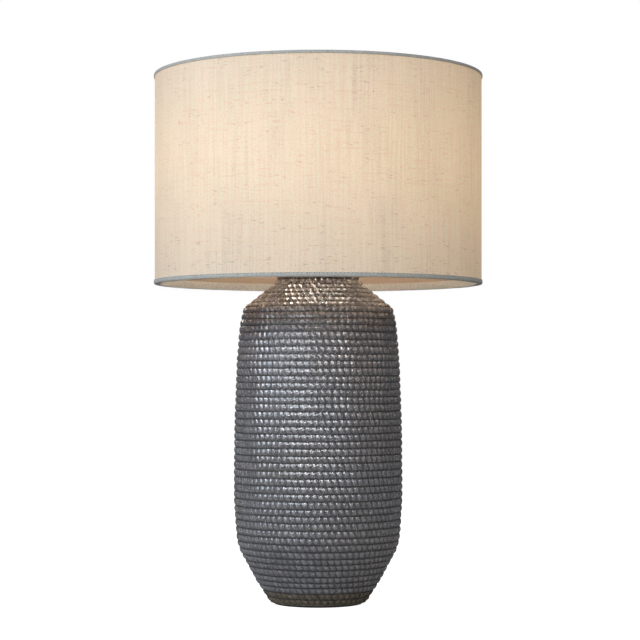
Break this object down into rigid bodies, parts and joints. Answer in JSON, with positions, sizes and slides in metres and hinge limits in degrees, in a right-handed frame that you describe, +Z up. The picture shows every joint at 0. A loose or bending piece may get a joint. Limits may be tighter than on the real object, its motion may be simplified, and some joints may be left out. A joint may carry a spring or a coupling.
{
  "type": "table lamp",
  "caption": "Table lamp: hollow ceramic body with beaded rows, switched screw socket and bulb, wire harp, and a linen drum shade held by a spider and finial.",
  "frame": {"origin": "centre of the underside, on the table top", "axes": "+Z up along the lamp's axis, -Y to the front, +Y to the cord outlet and the shade's seam, harp legs on +X and -X"},
  "size_m": [0.3826, 0.3826, 0.6141],
  "materials": {
    "glazed_stoneware": "semi-gloss blue-grey glaze over coiled, beaded rows; bare olive-brown clay at the foot",
    "felt": "dark wool felt",
    "grommet_rubber": "matte moulded rubber",
    "gasket_rubber": "matte rubber sheet",
    "zinc_steel": "bright zinc plate",
    "brass": "satin lacquered brass",
    "socket_brass": "drawn brass, lightly lacquered",
    "fibre_board": "grey-brown vulcanised fibre",
    "moulded_resin": "dark phenolic resin",
    "knob_black": "black phenolic with flutes",
    "opal_glass": "opal coated glass, lit warm white",
    "bulb_nickel": "rolled thread, bright",
    "base_glass": "black vitrified glass",
    "stem_glass": "clear pressed glass",
    "filament": "glowing wire",
    "linen": "slubbed natural linen, light passes through it",
    "liner": "satin translucent backing",
    "binding": "blue-grey ribbed bias binding"
  },
  "bodies": {
    "base": {"foot_pad": "felt", "ceramic_body": "glazed_stoneware", "cord_grommet": "grommet_rubber", "threaded_rod": "zinc_steel", "bottom_washer": "zinc_steel", "lock_washer": "zinc_steel", "bottom_nut": "zinc_steel", "neck_gasket": "gasket_rubber", "neck_cap": "brass", "stem_collar": "brass", "harp_saddle": "brass", "saddle_nut": "brass", "socket_cap": "socket_brass", "socket_set_screw": "zinc_steel", "socket_shell": "socket_brass", "socket_insulator": "fibre_board", "socket_body": "moulded_resin", "screw_shell": "socket_brass", "centre_contact": "socket_brass", "terminal_screw_left": "socket_brass", "terminal_screw_right": "zinc_steel", "switch_barrel": "socket_brass"},
    "switch": {"switch_spindle": "socket_brass", "switch_knob": "knob_black"},
    "bulb_envelope": {"bulb_glass": "opal_glass"},
    "bulb_base": {"bulb_cap": "bulb_nickel", "bulb_insulator": "base_glass", "bulb_contact": "bulb_nickel", "bulb_stem": "stem_glass", "bulb_filament": "filament"},
    "harp": {"harp_wire": "brass", "harp_stud": "brass"},
    "sleeve_left": {"sleeve_left": "brass"},
    "sleeve_right": {"sleeve_right": "brass"},
    "shade": {"spider_hub": "zinc_steel", "spider_arm_1": "zinc_steel", "spider_arm_2": "zinc_steel", "spider_arm_3": "zinc_steel", "top_ring": "zinc_steel", "bottom_ring": "zinc_steel", "shade_fabric": "linen", "shade_liner": "liner", "shade_seam": "linen", "top_trim": "binding", "bottom_trim": "binding"},
    "finial_thread": {"finial_insert": "zinc_steel"},
    "finial": {"finial_knob": "brass"}
  },
  "joints": [
    {"name": "harp_lift", "type": "slide", "parent": "base", "child": "harp", "axis": [0, 0, 1], "range_m": [0, 0.15]},
    {"name": "sleeve_left_lift", "type": "slide", "parent": "harp", "child": "sleeve_left", "axis": [0, 0, 1], "range_m": [0, 0.012]},
    {"name": "sleeve_right_lift", "type": "slide", "parent": "harp", "child": "sleeve_right", "axis": [0, 0, 1], "range_m": [0, 0.012]},
    {"name": "shade_swivel", "type": "hinge", "parent": "harp", "child": "shade", "pos_m": [0, 0, 0.5822], "axis": [0, 0, 1], "continuous": true},
    {"name": "finial_rise", "type": "slide", "parent": "harp", "child": "finial_thread", "axis": [0, 0, 1], "range_m": [0, 0.0075]},
    {"name": "finial_turn", "type": "hinge", "parent": "finial_thread", "child": "finial", "pos_m": [0, 0, 0.5834], "axis": [0, 0, 1], "range_deg": [0, 2880]},
    {"name": "bulb_rise", "type": "slide", "parent": "base", "child": "bulb_envelope", "axis": [0, 0, 1], "range_m": [0, 0.0254]},
    {"name": "bulb_turn", "type": "hinge", "parent": "bulb_envelope", "child": "bulb_base", "pos_m": [0, 0, 0.4363], "axis": [0, 0, 1], "range_deg": [0, 2525]},
    {"name": "switch_turn", "type": "hinge", "parent": "base", "child": "switch", "pos_m": [0, -0.0247, 0.428], "axis": [0, -1, 0], "continuous": true}
  ],
  "couplings": [
    {"joint": "finial_turn", "follows": "finial_rise", "rad_per_m": 6679},
    {"joint": "bulb_turn", "follows": "bulb_rise", "rad_per_m": 1731.6}
  ]
}
